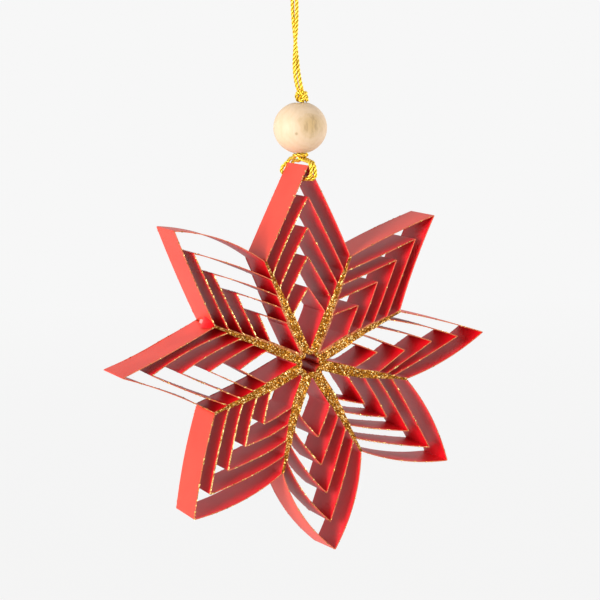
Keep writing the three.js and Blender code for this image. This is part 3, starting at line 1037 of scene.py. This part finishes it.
# %% Glitter finish
def glitter_finish():
    finish, tree, shader = new_finish("gold_glitter", Specular_IOR_Level=0.3)
    mark = mark_of(tree)
    cells = place_group(tree, grain_cells, Size_mm=0.24)["Value"]
    small_cells = place_group(tree, grain_cells, Size_mm=0.11)["Value"]
    lone = value_range(tree, mark, 0.0, 0.45, 0.85, 1.0)
    gold = colour_ramp(tree, compute(tree, "ADD", cells, lone), [
        (0.0, (0.08, 0.020, 0.001)),
        (0.25, (0.19, 0.058, 0.003)),
        (0.60, (0.36, 0.125, 0.008)),
        (0.85, (0.62, 0.28, 0.028)),
        (0.95, (1.0, 0.78, 0.34)),
    ])
    bare_card = colour_ramp(tree, small_cells, [
        (0.0, (0.50, 0.05, 0.03)),
        (0.6, (0.70, 0.13, 0.08)),
        (1.0, (0.85, 0.30, 0.15)),
    ])
    bare_glue = colour_ramp(tree, cells, [
        (0.0, (0.28, 0.05, 0.02)),
        (0.5, (0.46, 0.14, 0.05)),
        (1.0, (0.64, 0.29, 0.10)),
    ])
    dull = mix_colours(tree, value_range(tree, mark, 0.0, 1.0, 0.0, 0.5), bare_card, bare_glue)
    golden = value_range(tree, mark, 0.0, 1.0, 0.5, 0.85)
    feed_named(
        tree,
        shader,
        Base_Color=mix_colours(tree, golden, dull, gold),
        Metallic=compute(tree, "MULTIPLY", golden, 0.85),
        Roughness=value_range(tree, small_cells, 0.24, 0.5),
    )
    return finish


glitter = glitter_finish()
print("glitter finish:", len(glitter.node_tree.nodes), "nodes")

# %% Glitter shapes
CRUST_STEP = 0.25
CRUST_LANES = 7
CRUST_BULGE = 0.1
CRUST_HEIGHT = 0.13
CRUST_ROUGHNESS = 0.09
CRUST_WOBBLE = 0.045
# The crust reaches a little over the rim of the hub hole
HUB_LIP = 0.3
RIDGE_STEP = 0.33
RIDGE_HALF_WIDTH = 0.12
EDGE_SINK = 0.04
# Shares of the free edges that carry grains, then how much dried glue shows between them, both
# for the first and the second side of each petal's loops
edge_finish = {
    "top": ((0.70, 0.12), (0.1, 0.0)),
    "upper_right": ((0.18, 0.07), (0.3, 0.1)),
    "right": ((0.08, 0.14), (0.4, 0.4)),
    "lower_right": ((0.14, 0.20), (0.3, 0.4)),
    "bottom": ((0.14, 0.30), (0.3, 0.2)),
    "lower_left": ((0.25, 0.85), (0.3, 0.4)),
    "left": ((0.20, 0.20), (0.3, 0.3)),
    "upper_left": ((0.50, 0.07), (0.3, 0.3)),
}
# The outermost loops have lost most of their grains, and near the spokes there are more
OUTERMOST_SHARE = 0.35
SPOKE_SHARE = 0.3
# The petals whose inner layers have glue on their spokes but few grains
scarce_inside = ("upper_left", "upper_right")
SCARCE_SHARE = 0.2


def crust_borders(index):
    """Points on the outer and inner border of the crust, out from the curl along both legs."""
    petal = petals[index]
    left, right = spokes_beside(index)
    outer_centre, outer_curl, half_angle = curl_of(left, right, 0)
    inner_centre, inner_curl, _ = curl_of(left, right, LOOPS - 1)
    outer_radius = outer_curl + LAYER_PITCH / 2 + HUB_LIP
    inner_radius = inner_curl - LAYER_PITCH / 2

    def leg(spoke, hand, drifts):
        outwards = unit(spoke.direction)
        inwards = outwards * 1j * hand
        count = round((spoke.bend_reach - abs(outer_centre)) / CRUST_STEP)
        share = np.linspace(0, 1, count)
        outer_start = np.real(outer_centre / outwards)
        inner_start = np.real(inner_centre / outwards)
        outer_reach = outer_start + (spoke.bend_reach - outer_start) * share
        inner_reach = inner_start + (spoke.bend_reach - inner_start) * share
        bends = spoke.bend_reach - np.arange(LOOPS) * BEND_STEP + np.array(drifts)
        layers = np.clip((bends[None, :] - inner_reach[:, None]) / 0.8 + 0.5, 0, 1).sum(axis=1)
        width = np.maximum(layers, 0.6) * LAYER_PITCH + CRUST_BULGE
        return outwards * outer_reach, outwards * inner_reach + inwards * width

    turn = math.pi - 2 * half_angle
    angles = np.linspace(0, turn, round(turn * outer_radius / CRUST_STEP))[1:-1]
    start = unit(left.direction) * 1j
    spin = start * np.exp(1j * angles)
    left_outer, left_inner = leg(left, -1, petal.left_drift)
    right_outer, right_inner = leg(right, 1, petal.right_drift)
    outer = np.concatenate([left_outer[::-1], outer_centre + spin * outer_radius, right_outer])
    inner = np.concatenate([left_inner[::-1], inner_centre + spin * inner_radius, right_inner])
    return outer, inner


def add_crust(body, index, face):
    outer, inner = crust_borders(index)
    lane = np.linspace(0, 1, CRUST_LANES)
    flat = with_bows(outer[:, None] * (1 - lane) + inner[:, None] * lane)
    wobble = dice.normal(0, CRUST_WOBBLE, flat.shape)
    wobble = wobble + 1j * dice.normal(0, CRUST_WOBBLE, flat.shape)
    flat[:, 1:-1] += wobble[:, 1:-1]
    # Highest in the middle, with the steeper slope inside the petal
    crown = 1 - np.abs(2 * lane - 1) ** 3 * np.where(lane < 0.5, 0.35, 0.75)
    rough = dice.uniform(-1, 1, flat.shape) * CRUST_ROUGHNESS
    height = np.maximum(CRUST_HEIGHT * crown + rough, 0.02)
    top = stand_up(flat, face * (STRIP_WIDTH / 2 + height))
    under = stand_up(flat[:, [-1, 0]], face * (STRIP_WIDTH / 2 - EDGE_SINK))
    rings = np.concatenate([top, under], axis=1)
    marks = np.full((len(outer), CRUST_LANES + 2), 0.85)
    if petals[index].name in scarce_inside:
        lone_grains = dice.uniform(size=marks.shape) < SCARCE_SHARE
        inner_lanes = np.arange(CRUST_LANES + 2) > 0.5 * CRUST_LANES
        marks[inner_lanes & ~lone_grains] = 0.5
    if face > 0:
        rings = rings[:, ::-1]
        marks = marks[:, ::-1]
    body.add(rings, closed=False, marks=marks)


def add_ridge(body, index, layer, face):
    """The line of glue on one loop's free edge, with grains where the dice say."""
    petal = petals[index]
    _, right_side, tip, left_side = loop_parts(index, layer)
    flat = np.array(split_long([*right_side, *tip, *left_side], RIDGE_STEP, closed=False))
    points = with_bows(flat)
    if face > 0:
        points = points + back_shift(index, layer, flat)
    across = mitres(points, closed=False)
    count = len(points)
    outwards = np.real(flat / unit(petal.direction))
    side = (np.arange(count) <= np.argmax(outwards)).astype(int)
    near_spoke = np.clip(1 - (outwards - outwards.min()) / 2.0, 0, 1)
    grains, bare = (np.array(shares)[side] for shares in edge_finish[petal.name])
    chance = grains * (OUTERMOST_SHARE if layer == 0 else 1) + SPOKE_SHARE * near_spoke
    gold = dice.uniform(0, 1, count) < chance
    marks = np.where(gold, 1.0, bare)
    swell = np.where(gold, dice.uniform(0.10, 0.18, count), dice.uniform(0.02, 0.04, count))
    half = np.where(gold, dice.uniform(0.15, 0.24, count), RIDGE_HALF_WIDTH)
    sideways = np.array([-1.0, -0.7, 0.0, 0.7, 1.0])
    rise = np.array([0.0, 0.7, 1.0, 0.7, 0.0])
    spread = points[:, None] + across[:, None] * half[:, None] * sideways
    height = swell[:, None] * rise - EDGE_SINK * (rise == 0)
    rings = stand_up(spread, face * (STRIP_WIDTH / 2 + height))
    if face > 0:
        rings = rings[:, ::-1]
    body.add(rings, closed=False, marks=marks[:, None])


GRAIN_POINTS = np.array([
    (1, 0, 0), (-1, 0, 0), (0, 1, 0), (0, -1, 0), (0, 0, 1), (0, 0, -1),
], float)
GRAIN_FACES = [
    (0, 2, 4), (2, 1, 4), (1, 3, 4), (3, 0, 4), (2, 0, 5), (1, 2, 5), (3, 1, 5), (0, 3, 5),
]
STRAY_GRAINS = 60


def add_stray_grains(body, index):
    """Single grains that stuck on or just beside the free edges."""
    for _ in range(STRAY_GRAINS):
        layer = dice.randint(0, LOOPS)
        _, right_side, tip, left_side = loop_parts(index, layer)
        line = with_bows([*right_side, *tip, *left_side])
        k = dice.randint(0, len(line) - 1)
        share = dice.uniform()
        place = line[k] * (1 - share) + line[k + 1] * share
        normal = (line[k + 1] - line[k]) * 1j
        normal /= abs(normal)
        side = dice.choice([-1, 1])
        face = dice.choice([-1, 1])
        below = abs(dice.normal(0, 0.5))
        size = dice.uniform(0.07, 0.15)
        spot = place + normal * side * (CARD_THICKNESS / 2 + 0.3 * size)
        centre = stand_up(spot, face * (STRIP_WIDTH / 2 - below))
        axes, _ = np.linalg.qr(dice.normal(0, 1, (3, 3)))
        if np.linalg.det(axes) < 0:
            axes[:, 0] *= -1
        shape = GRAIN_POINTS * (size, size, 0.55 * size) @ axes.T * MM
        body.add_body((shape + centre).tolist(), GRAIN_FACES, 1.0)


def petal_glitter(index):
    body = Sweeps()
    for face in (-1, 1):
        add_crust(body, index, face)
        for layer in range(LOOPS):
            add_ridge(body, index, layer, face)
    add_stray_grains(body, index)
    made = body.make(f"glitter_{petals[index].name}", glitter)
    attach(made, "star")
    return made


glitter_pieces = [petal_glitter(index) for index in range(len(petals))]
faces = sum(len(piece.data.polygons) for piece in glitter_pieces)
print("glitter:", len(glitter_pieces), "pieces with", faces, "faces")

# %% [markdown]
# ## Room and light
#
# The photograph has a flat, pale background and soft light from all round, with more of it from
# the left. The world gives the even part. A large lamp on the left gives the strong light, and a
# weaker one on the right lifts the shadows. What the camera sees of the world and the floor is set
# apart from the light they give, so a pale background costs the star nothing of its colour.

# %% World
BACKGROUND = 0.93
WORLD_LIGHT = 0.5


def seen_directly(tree):
    """1 where the camera, a reflection or glass looks, and 0 where light is gathered."""
    path = tree.nodes.new("ShaderNodeLightPath").outputs
    seen = compute(tree, "MAXIMUM", path["Is Camera Ray"], path["Is Glossy Ray"])
    return compute(tree, "MAXIMUM", path["Is Transmission Ray"], seen)


def pale_world():
    world = bpy.data.worlds.new("pale_room")
    world.use_nodes = True
    tree = world.node_tree
    light = tree.nodes["Background"]
    feed_named(tree, light, Color=(1, 1, 1), Strength=WORLD_LIGHT)
    seen = add_node(tree, "ShaderNodeBackground", Color=(1, 1, 1), Strength=BACKGROUND)
    mix = add_node(
        tree, "ShaderNodeMixShader", seen_directly(tree), light.outputs[0], seen.outputs[0]
    )
    feed_named(tree, tree.nodes["World Output"], Surface=mix.outputs[0])
    bpy.context.scene.world = world


pale_world()
print("background", BACKGROUND, "and light from all round", WORLD_LIGHT)

# %% Floor
FLOOR_BELOW = 120
FLOOR_RADIUS = 2500
SHADOW_SHARE = 0.12
SHADOW_END = 1400


def floor_finish():
    """Shows a little of its own shading near the star and fades into the background."""
    finish, tree, shader = new_finish("pale_floor")
    tree.nodes.remove(shader)
    matt = add_node(tree, "ShaderNodeBsdfDiffuse", Color=(0.86, 0.86, 0.86))
    glow = add_node(tree, "ShaderNodeEmission", Strength=BACKGROUND)
    place = add_node(tree, "ShaderNodeTexCoord").outputs["Object"]
    away = vector_math(tree, "LENGTH", place)["Value"]
    glowing = value_range(tree, away, 1 - SHADOW_SHARE, 1.0, 0.0, SHADOW_END * MM)
    share = compute(tree, "MULTIPLY", seen_directly(tree), glowing)
    mix = add_node(tree, "ShaderNodeMixShader", share, matt.outputs[0], glow.outputs[0])
    feed_named(tree, tree.nodes["Material Output"], Surface=mix.outputs[0])
    return finish


def floor():
    height = measured_box[0][2] / MM - FLOOR_BELOW
    points = [
        Vector((FLOOR_RADIUS * math.cos(a), FLOOR_RADIUS * math.sin(a), height)) * MM
        for a in np.linspace(0, 2 * math.pi, 64, endpoint=False)
    ]
    mesh = bpy.data.meshes.new("floor")
    mesh.from_pydata(points, [], [tuple(range(len(points)))])
    mesh.materials.append(floor_finish())
    add_object("floor", mesh)
    print("floor at", round(height), "mm")


floor()


# %% Lamps
LAMP_DISTANCE = 1200
LAMP_SIZE = 500
LAMP_COLOUR = (1.0, 0.95, 0.87)


def soft_lamp(name, towards_lamp, watts):
    """A square lamp that looks at the star from the given direction."""
    lamp = bpy.data.lights.new(name, "AREA")
    lamp.size = LAMP_SIZE * MM
    lamp.energy = watts
    lamp.color = LAMP_COLOUR
    made = add_object(name, lamp)
    direction = Vector(towards_lamp).normalized()
    made.location = (Vector((0, 0, star_middle)) + direction * LAMP_DISTANCE) * MM
    made.rotation_euler = direction.to_track_quat("Z", "Y").to_euler()


soft_lamp("key_lamp", (-0.92, -0.36, 0.17), 17)
soft_lamp("fill_lamp", (0.9, -0.4, 0.1), 10)
